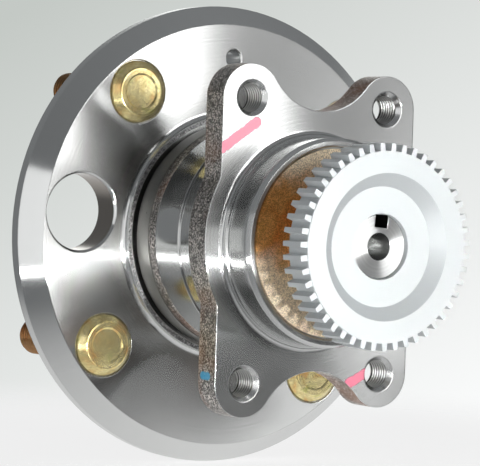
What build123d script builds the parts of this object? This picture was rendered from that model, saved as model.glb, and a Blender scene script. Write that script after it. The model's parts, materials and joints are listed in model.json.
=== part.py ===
"""Wheel hub bearing: a flanged spindle turning in a bolt-on outer ring on two rows of balls.

Millimetres. The spin axis is Y. Y = 0 is the wheel mounting face, the studs point along +Y and the
tone ring faces -Y. A "depth" is a distance from the wheel mounting face along -Y. Angles are read
from the tone ring's side, with +X to the right and +Z up.
"""
import os
from math import cos, radians, sin, sqrt

from build123d import *

os.makedirs("parts", exist_ok=True)

# Wheel flange
STUD_CIRCLE_R = 57.15
STUD_COUNT = 4
STUD_ANGLE = 38.0
RIM_WIDTH = 16.65
FLANGE_T = 10.2
BEVEL_W = 5.9
BEVEL_D = 6.05
RIM_CHAMFER = 0.6
PILOT_R = 33.5
PILOT_LEN = 9.0
PILOT_CHAMFER = 1.5
PILOT_WALL = 8.5
DISH_DEPTH = 12.0
DISH_CHAMFER = 4.0
BOSS_WALL = 1.55
BOSS_H = 1.9
BOSS_FILLET = 1.8
RECESS_H = 1.6
RECESS_FILLET = 1.2
ACCESS_R = 12.1
ACCESS_INSET = 2.2
ACCESS_ANGLE = 173.0
ACCESS_CHAMFER = 0.7
SCREW_R = 2.5
SCREW_ANGLE = 89.4
SCREW_CHAMFER = 0.45

# Wheel studs
STUD_R = 6.0
STUD_OUT = 34.8
STUD_CHAMFER = 1.2
STUD_PLAIN = 4.8
STUD_PITCH = 1.5
STUD_THREAD_D = 0.9
STUD_CREST_W = 0.3
KNURL_STEP = 0.4
HEAD_R = 9.8
HEAD_TOP_R = 7.6
HEAD_H = 3.3
HEAD_SLOPE_H = 2.3
HEAD_FILLET = 1.3
HEAD_DISH_R = 5.8
HEAD_DISH_D = 0.4
HEAD_DISH_W = 0.6
SEAT_D = 1.0
SEAT_CLEAR = 0.35

# Rolling elements
BALL_R = 5.55625
BALL_COUNT = 12
BALL_GAP = 1.8285
RACE_GAP = 0.05
INNER_SHOULDER = 2.6
INNER_RELIEF = 4.5
OUTER_SHOULDER = 2.78
CAGE_T = 3.66
CAGE_CLAW = 2.5
CAGE_BACK = 7.0
CAGE_CLEAR = 0.78
POCKET_GAP = 0.12

# Outer ring
KNUCKLE_DEPTH = 58.3
KNUCKLE_T = 10.2
BODY_STEP = 3.7
LOBE_R = 10.5
VALLEY_R = 21.0
SIDE_BLEND = 5.0
FORGED_EDGE = 1.2
BOLT_OFFSET = 14.15
NEAR_BOLT_ANGLE = 56.9
FAR_BOLT_ANGLE = 118.35
BOLT_R = 4.35
BOLT_CHAMFER = 1.3
RING_STEP = 3.2
NECK_FILLET = 2.6
BAND_STEP = 0.25
BAND_W = 3.2
BAND_RAMP = 0.4
GROOVE_BACK = 9.6
GROOVE_W = 0.8
GROOVE_D = 0.8
GROOVE_RAMP = 0.45
SPIGOT_STEP = 4.5
SPIGOT_WALL = 2.8
SPIGOT_LEN = 13.3
SPIGOT_LEAD_W = 1.0
SPIGOT_LEAD_L = 1.6
MOUTH_CHAMFER = 0.5
COLLAR_STEP = 0.75
COLLAR_LEN = 1.8
COLLAR_RAMP = 0.4
COLLAR_FILLET = 1.5

# Seals
SHIELD_GAP = 2.8
SHIELD_T = 0.6
SHIELD_LEN = 7.2
SHIELD_SEAT = 0.1
SHIELD_CLEAR = 0.95
SHIELD_FILLET = 0.48
SHIELD_LIP = 0.4
SEAL_STEP = 5.22
SEAL_INSET = 3.22
CASE_T = 0.8
CASE_INSET = 0.8
LIP_H = 3.0
LIP_BEAD = 1.0
LIP_WEB = 1.5
LIP_EDGE = 0.5
LIP_REACH = 3.4
PLATE_CLEAR = 1.42

# Spindle end
BORE_R = 14.0
RING_CHAMFER = 0.8
NUT_RELIEF = 0.3
THREAD_R = 11.0
STUB_STEP = 1.0
STUB_LEAD = 1.0
STUB_INSET = 1.15
STUB_CHAMFER = 0.57
CENTRE_R = 4.2
DRILL_R = 3.36
DRILL_D = 12.6
SLOT_W = 4.6
SLOT_D = 5.3
SLOT_ANGLE = 84.5
NUT_AF = 32.0
NUT_H = 14.0
NUT_COLLAR_H = 2.5
NUT_COLLAR_W = 2.44
NUT_GAP = 3.8
PLATE_T = 1.2
PLATE_GAP = 0.6
PLATE_INSET = 1.0

# Tone ring
TONE_LEN = 9.6
TONE_TIP_R = 31.1
TONE_TEETH = 47
TONE_ANGLE = 94.77
TOOTH_H = 2.3
TOOTH_TIP_W = 1.5
TOOTH_ROOT_W = 2.0
TOOTH_ROOT_IN = 0.8
TOOTH_SETBACK = 0.3
TOOTH_LAND = 0.1
TONE_DISH_R = 22.2
TONE_DISH_W = 4.1
TONE_DISH_D = 3.15

# Length by which a cutter runs past the face it leaves
CUT_PAST = 1.0

# Radii that follow from the sizes above, from the ball circle outwards
pitch_r = (BALL_R + BALL_GAP / 2) / sin(radians(180 / BALL_COUNT))
groove_r = BALL_R + RACE_GAP
inner_land = pitch_r - INNER_SHOULDER
inner_low = pitch_r - INNER_RELIEF
outer_land = pitch_r + OUTER_SHOULDER
seal_bore = pitch_r + SEAL_STEP
spigot_bore = pitch_r + SPIGOT_STEP
spigot_r = spigot_bore + SPIGOT_WALL
collar_r = spigot_r + COLLAR_STEP
ring_r = spigot_r + RING_STEP
band_r = ring_r + BAND_STEP
body_r = ring_r + BODY_STEP
bolt_circle_r = ring_r + BOLT_OFFSET
shield_seat = ring_r - SHIELD_SEAT
shield_r = shield_seat + SHIELD_T
recess_r = shield_r + SHIELD_CLEAR
boss_r = recess_r + BOSS_WALL
flange_r = STUD_CIRCLE_R + RIM_WIDTH
access_pos_r = STUD_CIRCLE_R - ACCESS_INSET
dish_r = PILOT_R - PILOT_WALL
knurl_r = STUD_R + KNURL_STEP
stub_r = THREAD_R - STUB_STEP
slot_floor = THREAD_R - SLOT_D
tooth_root = TONE_TIP_R - TOOTH_H
tooth_foot = tooth_root - TOOTH_ROOT_IN

# Depths that follow, from the wheel face to the tone ring
dish_floor = DISH_DEPTH - PILOT_LEN
boss_end = FLANGE_T + BOSS_H
recess_floor = boss_end - RECESS_H
shield_start = FLANGE_T + SHIELD_GAP
shield_end = shield_start + SHIELD_LEN
ring_start = shield_start + SHIELD_T
band_end = shield_end + BAND_W
seal_1 = ring_start + SEAL_INSET + LIP_REACH
row_1 = seal_1 + CAGE_CLEAR + CAGE_BACK
knuckle_back = KNUCKLE_DEPTH - KNUCKLE_T
neck_groove = knuckle_back - GROOVE_BACK
spigot_end = KNUCKLE_DEPTH + SPIGOT_LEN
nut_depth = spigot_end - PLATE_INSET
plate_depth = nut_depth - PLATE_T
seal_2 = plate_depth - PLATE_CLEAR - LIP_REACH
row_2 = seal_2 - CAGE_CLEAR - CAGE_BACK
abut = (row_1 + row_2) / 2
nut_end = nut_depth + NUT_H
collar_depth = nut_end - NUT_COLLAR_H
tone_back = nut_end + NUT_GAP
tone_front = tone_back + TONE_LEN
tone_floor = tone_front - TONE_DISH_D
spindle_end = tone_floor - STUB_INSET


def section(*points):
    """Turns (radius, depth) pairs into points of the turning plane."""
    return [(r, -depth) for r, depth in points]


def on_circle(r, angle):
    """Point of a circle round the spin axis, as (x, z)."""
    return (r * cos(radians(angle)), r * sin(radians(angle)))


# Hub: wheel flange, outboard race and spindle in one forging
with BuildPart() as hub:
    with BuildSketch(Plane.XY) as profile:
        with BuildLine():
            Polyline(
                *section(
                    (0, dish_floor),
                    (dish_r - DISH_CHAMFER, dish_floor),
                    (dish_r, dish_floor - DISH_CHAMFER),
                    (dish_r, -PILOT_LEN),
                    (PILOT_R - PILOT_CHAMFER, -PILOT_LEN),
                    (PILOT_R, PILOT_CHAMFER - PILOT_LEN),
                    (PILOT_R, 0),
                    (flange_r - RIM_CHAMFER, 0),
                    (flange_r, RIM_CHAMFER),
                    (flange_r, FLANGE_T - BEVEL_D),
                    (flange_r - BEVEL_W, FLANGE_T),
                    (boss_r, FLANGE_T),
                    (boss_r, boss_end),
                    (recess_r, boss_end),
                    (recess_r, recess_floor),
                    (inner_land, recess_floor),
                    (inner_land, row_1),
                    (inner_low, row_1),
                    (inner_low, abut),
                    (BORE_R, abut),
                    (BORE_R, plate_depth - NUT_RELIEF),
                    (THREAD_R, plate_depth - NUT_RELIEF),
                    (THREAD_R, tone_back - STUB_LEAD - STUB_STEP),
                    (stub_r, tone_back - STUB_LEAD),
                    (stub_r, spindle_end - STUB_CHAMFER),
                    (stub_r - STUB_CHAMFER, spindle_end),
                    (CENTRE_R, spindle_end),
                    (DRILL_R, spindle_end - DRILL_R),
                    (DRILL_R, spindle_end - DRILL_D),
                    (0, spindle_end - DRILL_D - DRILL_R / 2),
                ),
                close=True,
            )
        make_face()
        fillet(profile.vertices().sort_by_distance((boss_r, -FLANGE_T))[0], BOSS_FILLET)
        fillet(profile.vertices().sort_by_distance((inner_land, -recess_floor))[0], RECESS_FILLET)
    revolve(axis=Axis.Y)
    with BuildSketch(Plane.XY):
        with Locations((pitch_r, -row_1)):
            Circle(groove_r)
    revolve(axis=Axis.Y, mode=Mode.SUBTRACT)
    with BuildSketch(Plane.XZ):
        with PolarLocations(STUD_CIRCLE_R, STUD_COUNT, start_angle=STUD_ANGLE):
            Circle(knurl_r)
        with Locations(on_circle(access_pos_r, ACCESS_ANGLE)):
            Circle(ACCESS_R)
        with Locations(on_circle(STUD_CIRCLE_R, SCREW_ANGLE)):
            Circle(SCREW_R)
    extrude(amount=FLANGE_T + CUT_PAST, mode=Mode.SUBTRACT)
    with BuildSketch(Plane.XZ.offset(FLANGE_T - SEAT_D)):
        with PolarLocations(STUD_CIRCLE_R, STUD_COUNT, start_angle=STUD_ANGLE):
            Circle(HEAD_R + SEAT_CLEAR)
    extrude(amount=HEAD_H + CUT_PAST, mode=Mode.SUBTRACT)
    for hole_r, lead in ((ACCESS_R, ACCESS_CHAMFER), (SCREW_R, SCREW_CHAMFER)):
        rims = hub.edges().filter_by(GeomType.CIRCLE).filter_by(lambda e: abs(e.radius - hole_r) < 1e-4)
        chamfer(rims.group_by(Axis.Y)[0], lead)
    with BuildSketch(Plane.XZ.offset(spindle_end)):
        with Locations(Rotation(0, 0, SLOT_ANGLE)):
            with Locations(((slot_floor + THREAD_R + CUT_PAST) / 2, 0)):
                Rectangle(SLOT_D + CUT_PAST, SLOT_W)
    extrude(amount=collar_depth - spindle_end, mode=Mode.SUBTRACT)
hub.part.label = "hub"
export_step(hub.part, "parts/hub.step")

# Inboard inner ring, pressed on the spindle
with BuildPart() as inner_ring:
    with BuildSketch(Plane.XY):
        with BuildLine():
            Polyline(
                *section(
                    (BORE_R + RING_CHAMFER, abut),
                    (inner_low, abut),
                    (inner_low, row_2),
                    (inner_land, row_2),
                    (inner_land, plate_depth - RING_CHAMFER),
                    (inner_land - RING_CHAMFER, plate_depth),
                    (BORE_R, plate_depth),
                    (BORE_R, abut + RING_CHAMFER),
                ),
                close=True,
            )
        make_face()
    revolve(axis=Axis.Y)
    with BuildSketch(Plane.XY):
        with Locations((pitch_r, -row_2)):
            Circle(groove_r)
    revolve(axis=Axis.Y, mode=Mode.SUBTRACT)
inner_ring.part.label = "inner_ring"
export_step(inner_ring.part, "parts/inner_ring.step")

# Slinger plate in the mouth of the outer ring, held under the nut
with BuildPart() as slinger_plate:
    with BuildSketch(Plane.XZ.offset(plate_depth)):
        Circle(spigot_bore - PLATE_GAP)
        Circle(THREAD_R, mode=Mode.SUBTRACT)
    extrude(amount=PLATE_T)
slinger_plate.part.label = "slinger_plate"
export_step(slinger_plate.part, "parts/slinger_plate.step")

# Hub nut: hexagon with a collar that is staked into the spindle's slot
with BuildPart() as hub_nut:
    with BuildSketch(Plane.XZ.offset(nut_depth)):
        RegularPolygon(NUT_AF / 2, 6, major_radius=False)
    extrude(amount=NUT_H - NUT_COLLAR_H)
    with BuildSketch(Plane.XZ.offset(collar_depth)):
        Circle(THREAD_R + NUT_COLLAR_W)
    extrude(amount=NUT_COLLAR_H)
    with BuildSketch(Plane.XZ.offset(nut_depth)):
        Circle(THREAD_R)
    extrude(amount=NUT_H, mode=Mode.SUBTRACT)
hub_nut.part.label = "hub_nut"
export_step(hub_nut.part, "parts/hub_nut.step")

# Tone ring: square-cut teeth, dished front, pressed on the spindle end
with BuildPart() as tone_ring:
    with BuildSketch(Plane.XZ.offset(tone_back)):
        Circle(tooth_root)
        with PolarLocations(0, TONE_TEETH, start_angle=TONE_ANGLE):
            Polygon(
                (tooth_foot, -TOOTH_ROOT_W / 2),
                (TONE_TIP_R, -TOOTH_TIP_W / 2),
                (TONE_TIP_R, TOOTH_TIP_W / 2),
                (tooth_foot, TOOTH_ROOT_W / 2),
                align=None,
            )
    extrude(amount=TONE_LEN)
    with BuildSketch(Plane.XY):
        with BuildLine():
            Polyline(
                *section(
                    (0, tone_floor),
                    (TONE_DISH_R - TONE_DISH_W, tone_floor),
                    (TONE_DISH_R, tone_front),
                    (TONE_DISH_R, tone_front + CUT_PAST),
                    (0, tone_front + CUT_PAST),
                ),
                close=True,
            )
        make_face()
    revolve(axis=Axis.Y, mode=Mode.SUBTRACT)
    with BuildSketch(Plane.XZ.offset(tone_back)):
        Circle(stub_r)
    extrude(amount=TONE_LEN, mode=Mode.SUBTRACT)
    with BuildSketch(Plane.XZ.offset(tone_front - TOOTH_SETBACK)):
        Circle(TONE_TIP_R + CUT_PAST)
        Circle(tooth_root - TOOTH_LAND, mode=Mode.SUBTRACT)
    extrude(amount=TOOTH_SETBACK, mode=Mode.SUBTRACT)
tone_ring.part.label = "tone_ring"
export_step(tone_ring.part, "parts/tone_ring.step")

# Wheel studs, pressed in from the inboard side, with the thread as rings of its own pitch and depth
under_head = FLANGE_T - SEAT_D
head_top = under_head + HEAD_H
head_shoulder = head_top - HEAD_SLOPE_H
turns = int((STUD_OUT - STUD_CHAMFER - STUD_PLAIN) / STUD_PITCH)
thread = []
for turn in range(turns):
    start = STUD_PLAIN + turn * STUD_PITCH
    thread.append((STUD_R, -start))
    thread.append((STUD_R - STUD_THREAD_D, -start - (STUD_PITCH - STUD_CREST_W) / 2))
    thread.append((STUD_R, -start - STUD_PITCH + STUD_CREST_W))
for i in range(STUD_COUNT):
    x, z = on_circle(STUD_CIRCLE_R, STUD_ANGLE + i * 360 / STUD_COUNT)
    with BuildPart() as stud:
        with BuildSketch(Plane.XY.offset(z)) as profile:
            with Locations((x, 0)):
                Polygon(
                    *section(
                        (0, head_top - HEAD_DISH_D),
                        (HEAD_DISH_R - HEAD_DISH_W, head_top - HEAD_DISH_D),
                        (HEAD_DISH_R, head_top),
                        (HEAD_TOP_R, head_top),
                        (HEAD_R, head_shoulder),
                        (HEAD_R, under_head),
                        (knurl_r, under_head),
                        (knurl_r, 0),
                        (STUD_R, 0),
                        *thread,
                        (STUD_R, STUD_CHAMFER - STUD_OUT),
                        (STUD_R - STUD_CHAMFER, -STUD_OUT),
                        (0, -STUD_OUT),
                    ),
                    align=None,
                )
            for r, depth in ((HEAD_TOP_R, head_top), (HEAD_R, head_shoulder)):
                fillet(profile.vertices().sort_by_distance((x + r, -depth, z))[0], HEAD_FILLET)
        revolve(axis=Axis((x, 0, z), (0, 1, 0)))
    stud.part.label = f"wheel_stud_{i + 1}"
    export_step(stud.part, f"parts/wheel_stud_{i + 1}.step")

# Outer ring: turned body, lobed knuckle flange and spigot in one forging
near = on_circle(bolt_circle_r, NEAR_BOLT_ANGLE)
far = on_circle(bolt_circle_r, FAR_BOLT_ANGLE)
mid = ((near[0] + far[0]) / 2, (near[1] + far[1]) / 2)
span = (near[0] - far[0], near[1] - far[1])
span_len = sqrt(span[0] ** 2 + span[1] ** 2)
reach = sqrt((LOBE_R + VALLEY_R) ** 2 - (span_len / 2) ** 2)
valley = (mid[0] - span[1] / span_len * reach, mid[1] + span[0] / span_len * reach)
with BuildPart() as outer_ring:
    with BuildSketch(Plane.XZ.offset(knuckle_back)) as outline:
        Circle(body_r)
        with BuildLine():
            Polyline(
                far,
                valley,
                near,
                (near[0], -near[1]),
                (valley[0], -valley[1]),
                (far[0], -far[1]),
                close=True,
            )
        make_face()
        for side in (near, far):
            with Locations((side[0], 0)):
                Rectangle(2 * LOBE_R, 2 * side[1])
            with Locations(side, (side[0], -side[1])):
                Circle(LOBE_R)
        with Locations(valley, (valley[0], -valley[1])):
            Circle(VALLEY_R, mode=Mode.SUBTRACT)
        corners = outline.vertices().filter_by(lambda v: abs(sqrt(v.X**2 + v.Y**2) - body_r) < 0.01)
        fillet(corners, SIDE_BLEND)
    extrude(amount=KNUCKLE_T)
    fillet(outer_ring.faces().sort_by(Axis.Y)[-1].outer_wire().edges(), FORGED_EDGE)
    with BuildSketch(Plane.XY) as profile:
        with BuildLine():
            Polyline(
                *section(
                    (outer_land, ring_start),
                    (shield_seat, ring_start),
                    (shield_seat, shield_end),
                    (band_r, shield_end),
                    (band_r, band_end),
                    (ring_r, band_end + BAND_RAMP),
                    (ring_r, neck_groove - GROOVE_W - 2 * GROOVE_RAMP),
                    (ring_r - GROOVE_D, neck_groove - GROOVE_W - GROOVE_RAMP),
                    (ring_r - GROOVE_D, neck_groove - GROOVE_RAMP),
                    (ring_r, neck_groove),
                    (ring_r, knuckle_back),
                    (ring_r + NECK_FILLET, knuckle_back),
                    (ring_r + NECK_FILLET, knuckle_back + CUT_PAST),
                    (collar_r + COLLAR_FILLET, KNUCKLE_DEPTH),
                    (collar_r, KNUCKLE_DEPTH),
                    (collar_r, KNUCKLE_DEPTH + COLLAR_LEN),
                    (spigot_r, KNUCKLE_DEPTH + COLLAR_LEN + COLLAR_RAMP),
                    (spigot_r, spigot_end - SPIGOT_LEAD_L),
                    (spigot_r - SPIGOT_LEAD_W, spigot_end),
                    (outer_land, spigot_end),
                ),
                close=True,
            )
        make_face()
        neck = profile.vertices().sort_by_distance((ring_r, -knuckle_back))[0]
        fillet(neck, 0.98 * NECK_FILLET)
        collar = profile.vertices().sort_by_distance((collar_r, -KNUCKLE_DEPTH))[0]
        fillet(collar, 0.98 * COLLAR_FILLET)
    revolve(axis=Axis.Y)
    with BuildSketch(Plane.XY):
        with BuildLine():
            Polyline(
                *section(
                    (0, ring_start - CUT_PAST),
                    (seal_bore, ring_start - CUT_PAST),
                    (seal_bore, row_1),
                    (outer_land, row_1),
                    (outer_land, row_2),
                    (spigot_bore, row_2),
                    (spigot_bore, spigot_end - MOUTH_CHAMFER),
                    (spigot_bore + MOUTH_CHAMFER, spigot_end),
                    (spigot_bore + MOUTH_CHAMFER, spigot_end + CUT_PAST),
                    (0, spigot_end + CUT_PAST),
                ),
                close=True,
            )
        make_face()
        with Locations((pitch_r, -row_1), (pitch_r, -row_2)):
            Circle(groove_r)
    revolve(axis=Axis.Y, mode=Mode.SUBTRACT)
    with BuildSketch(Plane.XZ.offset(knuckle_back - CUT_PAST)):
        for side in (near, far):
            with Locations(side, (side[0], -side[1])):
                Circle(BOLT_R)
    extrude(amount=KNUCKLE_T + 2 * CUT_PAST, mode=Mode.SUBTRACT)
    rims = outer_ring.edges().filter_by(GeomType.CIRCLE).filter_by(lambda e: abs(e.radius - BOLT_R) < 1e-4)
    chamfer(rims.group_by(Axis.Y)[0], BOLT_CHAMFER)
outer_ring.part.label = "outer_ring"
export_step(outer_ring.part, "parts/outer_ring.step")

# Seal shield: stamped cap over the outboard end of the outer ring
with BuildPart() as seal_shield:
    with BuildSketch(Plane.XY) as profile:
        with BuildLine():
            Polyline(
                *section(
                    (seal_bore + SHIELD_LIP, shield_start),
                    (shield_r, shield_start),
                    (shield_r, shield_end),
                    (shield_seat, shield_end),
                    (shield_seat, ring_start),
                    (seal_bore + SHIELD_LIP, ring_start),
                ),
                close=True,
            )
        make_face()
        fillet(profile.vertices().sort_by_distance((shield_r, -shield_start))[0], SHIELD_FILLET)
    revolve(axis=Axis.Y)
seal_shield.part.label = "seal_shield"
export_step(seal_shield.part, "parts/seal_shield.step")

# Seal cases in both ends of the outer ring, each with a rubber lip on the turning land
lip_r = inner_land + RACE_GAP
case_r = lip_r + LIP_H
for name, wall, base, way, tube in (
    ("outboard", seal_bore, seal_1, -1, seal_1 - ring_start - CASE_INSET),
    ("inboard", spigot_bore, seal_2, 1, plate_depth - seal_2 - CASE_INSET),
):
    with BuildPart() as case:
        with BuildSketch(Plane.XY):
            with BuildLine():
                Polyline(
                    *section(
                        (wall, base),
                        (wall, base + way * tube),
                        (wall - CASE_T, base + way * tube),
                        (wall - CASE_T, base + way * CASE_T),
                        (case_r, base + way * CASE_T),
                        (case_r, base),
                    ),
                    close=True,
                )
            make_face()
        revolve(axis=Axis.Y)
    case.part.label = f"{name}_seal_case"
    export_step(case.part, f"parts/{name}_seal_case.step")
    with BuildPart() as lip:
        with BuildSketch(Plane.XY):
            with BuildLine():
                Polyline(
                    *section(
                        (case_r, base),
                        (case_r, base + way * CASE_T),
                        (case_r + LIP_BEAD, base + way * CASE_T),
                        (case_r + LIP_BEAD, base + way * 2 * CASE_T),
                        (case_r - LIP_EDGE, base + way * 2 * CASE_T),
                        (lip_r + LIP_EDGE, base + way * LIP_REACH),
                        (lip_r, base + way * LIP_REACH),
                        (lip_r, base + way * (LIP_REACH - LIP_EDGE)),
                        (case_r - LIP_WEB, base + way * CASE_T),
                        (case_r - LIP_WEB, base),
                    ),
                    close=True,
                )
            make_face()
        revolve(axis=Axis.Y)
    lip.part.label = f"{name}_seal_lip"
    export_step(lip.part, f"parts/{name}_seal_lip.step")

# Ball rows: a moulded crown cage, open towards the other row, and its balls
for name, row, way in (("outboard", row_1, -1), ("inboard", row_2, 1)):
    spots = []
    for i in range(BALL_COUNT):
        x, z = on_circle(pitch_r, (i + 0.5) * 360 / BALL_COUNT)
        spots.append((x, -row, z))
    with BuildPart() as cage:
        with BuildSketch(Plane.XY):
            with BuildLine():
                Polyline(
                    *section(
                        (pitch_r - CAGE_T / 2, row - way * CAGE_CLAW),
                        (pitch_r + CAGE_T / 2, row - way * CAGE_CLAW),
                        (pitch_r + CAGE_T / 2, row + way * CAGE_BACK),
                        (pitch_r - CAGE_T / 2, row + way * CAGE_BACK),
                    ),
                    close=True,
                )
            make_face()
        revolve(axis=Axis.Y)
        with Locations(*spots):
            Sphere(BALL_R + POCKET_GAP, mode=Mode.SUBTRACT)
    cage.part.label = f"{name}_cage"
    export_step(cage.part, f"parts/{name}_cage.step")
    for i, spot in enumerate(spots):
        with BuildPart() as ball:
            with Locations(spot):
                Sphere(BALL_R)
        ball.part.label = f"{name}_ball_{i + 1}"
        export_step(ball.part, f"parts/{name}_ball_{i + 1}.step")
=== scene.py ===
"""Finishes, threads and a plain studio for a wheel hub bearing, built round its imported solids.

Metres. The spin axis is Y, the tone ring faces -Y, and Z is up. Depths are read from the wheel face
along -Y.
"""

import json
import math

import bpy
import numpy as np
from mathutils import Matrix, Vector


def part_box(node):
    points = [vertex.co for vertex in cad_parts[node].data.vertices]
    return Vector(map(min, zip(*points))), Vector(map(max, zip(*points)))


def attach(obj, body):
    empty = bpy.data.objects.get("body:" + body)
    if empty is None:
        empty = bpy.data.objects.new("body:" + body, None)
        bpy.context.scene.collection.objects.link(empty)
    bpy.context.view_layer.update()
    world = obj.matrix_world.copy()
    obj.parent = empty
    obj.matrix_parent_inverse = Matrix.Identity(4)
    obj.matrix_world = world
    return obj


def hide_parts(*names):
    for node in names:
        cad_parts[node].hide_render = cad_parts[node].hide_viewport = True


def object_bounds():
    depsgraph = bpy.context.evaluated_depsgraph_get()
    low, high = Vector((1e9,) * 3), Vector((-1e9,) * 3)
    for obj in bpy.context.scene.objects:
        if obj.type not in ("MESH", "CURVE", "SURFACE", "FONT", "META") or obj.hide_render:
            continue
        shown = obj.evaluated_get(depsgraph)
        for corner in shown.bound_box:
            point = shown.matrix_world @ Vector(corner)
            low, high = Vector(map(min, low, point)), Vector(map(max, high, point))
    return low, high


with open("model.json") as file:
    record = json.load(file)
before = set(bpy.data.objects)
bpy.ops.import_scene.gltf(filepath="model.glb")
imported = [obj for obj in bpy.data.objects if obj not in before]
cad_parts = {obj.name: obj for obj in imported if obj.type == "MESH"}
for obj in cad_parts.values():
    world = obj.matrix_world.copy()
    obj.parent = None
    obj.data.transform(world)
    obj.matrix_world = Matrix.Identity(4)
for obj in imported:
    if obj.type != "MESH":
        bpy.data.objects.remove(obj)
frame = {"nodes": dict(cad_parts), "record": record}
CAD_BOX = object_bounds()

bl_info = {
    "name": "Wheel Hub Bearing",
    "version": (1, 0, 0),
    "blender": (4, 5, 0),
    "location": "View3D > Sidebar > Hub Bearing",
    "description": "Dresses the solids of a wheel hub bearing and sets up its studio",
    "category": "Object",
}

NODES = frame["nodes"]
MOUNTS = {m["name"]: m for m in frame["record"]["mounts"]}
STUDS = sorted(n for n in NODES if n.startswith("wheel_stud_"))
BALLS = sorted(n for n in NODES if "_ball_" in n)
MM = 0.001
# Faces count as lying on a size when they are this close to it.
NEAR = 1e-5

HOLE_R = MOUNTS["knuckle_bolts_near"]["dims"]["hole_r_mm"] * MM
STUD_R = MOUNTS["wheel_studs"]["dims"]["stud_r_mm"] * MM
STUD_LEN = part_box("wheel_stud_1")[1].y
FACE_DEPTH = -MOUNTS["knuckle_face"]["pos_m"][1]
SHIELD_END = -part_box("seal_shield")[0].y
SPINDLE_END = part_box("hub")[0].y
FLOOR_Z = CAD_BOX[0][2]

# Starts and ends of the inspector's paint strokes, on the knuckle face and on its edge.
STROKES = (
    ((-0.0341, -FACE_DEPTH, 0.0280), (-0.0217, -FACE_DEPTH, 0.0363)),
    ((0.0158, -FACE_DEPTH, -0.0443), (0.0222, -FACE_DEPTH, -0.0412)),
)
DAB = (((-0.0341, -0.0512, -0.0416), (-0.0341, -0.0545, -0.0416)),)
# A stroke's edge wanders by this much, is this soft, and covers this share of the steel.
STROKE_RAGGED = 0.0005
STROKE_SOFT = 0.0002
STROKE_COVER = 0.88

# Width of a broken edge that catches the light, on turned and on forged steel, and the rays that find it.
TURNED_EDGE = 0.0005
FORGED_EDGE = 0.0006
EDGE_SAMPLES = 6

# Flat share of a thread's pitch at crest and at root, and the part of a turn in which it runs out.
THREAD_FLAT = 0.2
THREAD_FLANK = 1.0 - 2 * THREAD_FLAT
THREAD_RUN_OUT = 0.6
# Points round a thread, and along the threads of a tapped hole and of a stud.
THREAD_AROUND = 49
HOLE_ALONG = 121
STUD_ALONG = 240

# The camera's place and its right, up and back, its lens and sensor in millimetres, and how far it sees.
CAMERA_PLACE = Vector((-0.52014, -0.80961, 0.02841))
CAMERA_RIGHT = Vector((0.83588, -0.54801, 0.03153))
CAMERA_UP = Vector((-0.01046, 0.04152, 0.99908))
CAMERA_BACK = Vector((-0.54882, -0.83544, 0.02897))
CAMERA_LENS = 221.48
CAMERA_SENSOR = 36.0
CAMERA_FAR = 20.0

# Half the floor's side, the shift to the middle of the paper that shows, and where it fades out.
FLOOR_HALF = 6.0
FLOOR_SHIFT = (-0.045, -0.068, 0.0)
FLOOR_FADE = (0.08, 0.25)
# Share of the floor that shows as plain white paper; the rest keeps the object's shadow.
FLOOR_WHITE = 0.8
# The backdrop darkens along this way, from the first to the second of these heights.
SWEEP_WAY = (-2.06, 1.49, 3.99)
SWEEP_RISE = (-0.52, 0.48)
# Mirrors show the backdrop only ahead of the camera; it fades in between these cosines.
SWEEP_AHEAD = (0.8, 0.95)
# The room's light from the front (0) to the back (1), and its faint blue tint.
ROOM = ((0.08, 0.02), (0.25, 0.2), (0.5, 0.28), (0.67, 0.24))
ROOM_TINT = np.array((0.97, 1.0, 1.03))
# Lamps: name, way from the object, distance, width, height, turn about Z in radians, and watts.
LAMPS = (
    ("front softbox", (0.2793, -0.9428, 0.1822), 1.3, 0.67, 0.72, 0.0, 6.5),
    ("upper right softbox", (0.60, -0.75, 0.20), 1.3, 0.55, 0.60, 0.0, 0.5),
    ("left softbox", (-0.83, -0.55, 0.07), 1.3, 0.75, 0.82, 0.0, 1.9),
    ("front left softbox", (-0.375, -0.927, -0.017), 1.3, 0.82, 0.32, 0.0, 0.66),
    ("low lamp", (-0.15, -0.977, -0.152), 0.367, 0.016, 0.016, 0.0, 0.68),
    ("low strip", (-0.5915, -0.7688, -0.2424), 0.2764, 0.332, 0.012, -0.37, 0.1),
    ("back softbox", (0.55, 0.83, 0.12), 1.4, 0.8, 0.8, 0.0, 3.0),
)


def linear(code):
    """sRGB hex value as linear red, green and blue."""
    parts = [int(code[i : i + 2], 16) / 255 for i in (1, 3, 5)]
    return tuple(c / 12.92 if c <= 0.04045 else ((c + 0.055) / 1.055) ** 2.4 for c in parts)


def rgba(shade):
    """A linear colour with full alpha, as node sockets take it."""
    red, green, blue = np.clip(shade, 0, 1)
    return (red, green, blue, 1.0)


def per_metre(mm):
    """How many repeats a pattern has in a metre, from the size of one in millimetres."""
    return 1000.0 / mm


def length(name, description, metres, least=0.0001):
    """A length that a user may change."""
    return bpy.props.FloatProperty(
        name=name, description=description, default=metres, min=least, unit="LENGTH",
    )


def colour(name, description, code):
    """A colour that a user may change, from its sRGB hex value."""
    return bpy.props.FloatVectorProperty(
        name=name, description=description, default=linear(code), size=3, subtype="COLOR", min=0, max=1,
    )


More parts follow.
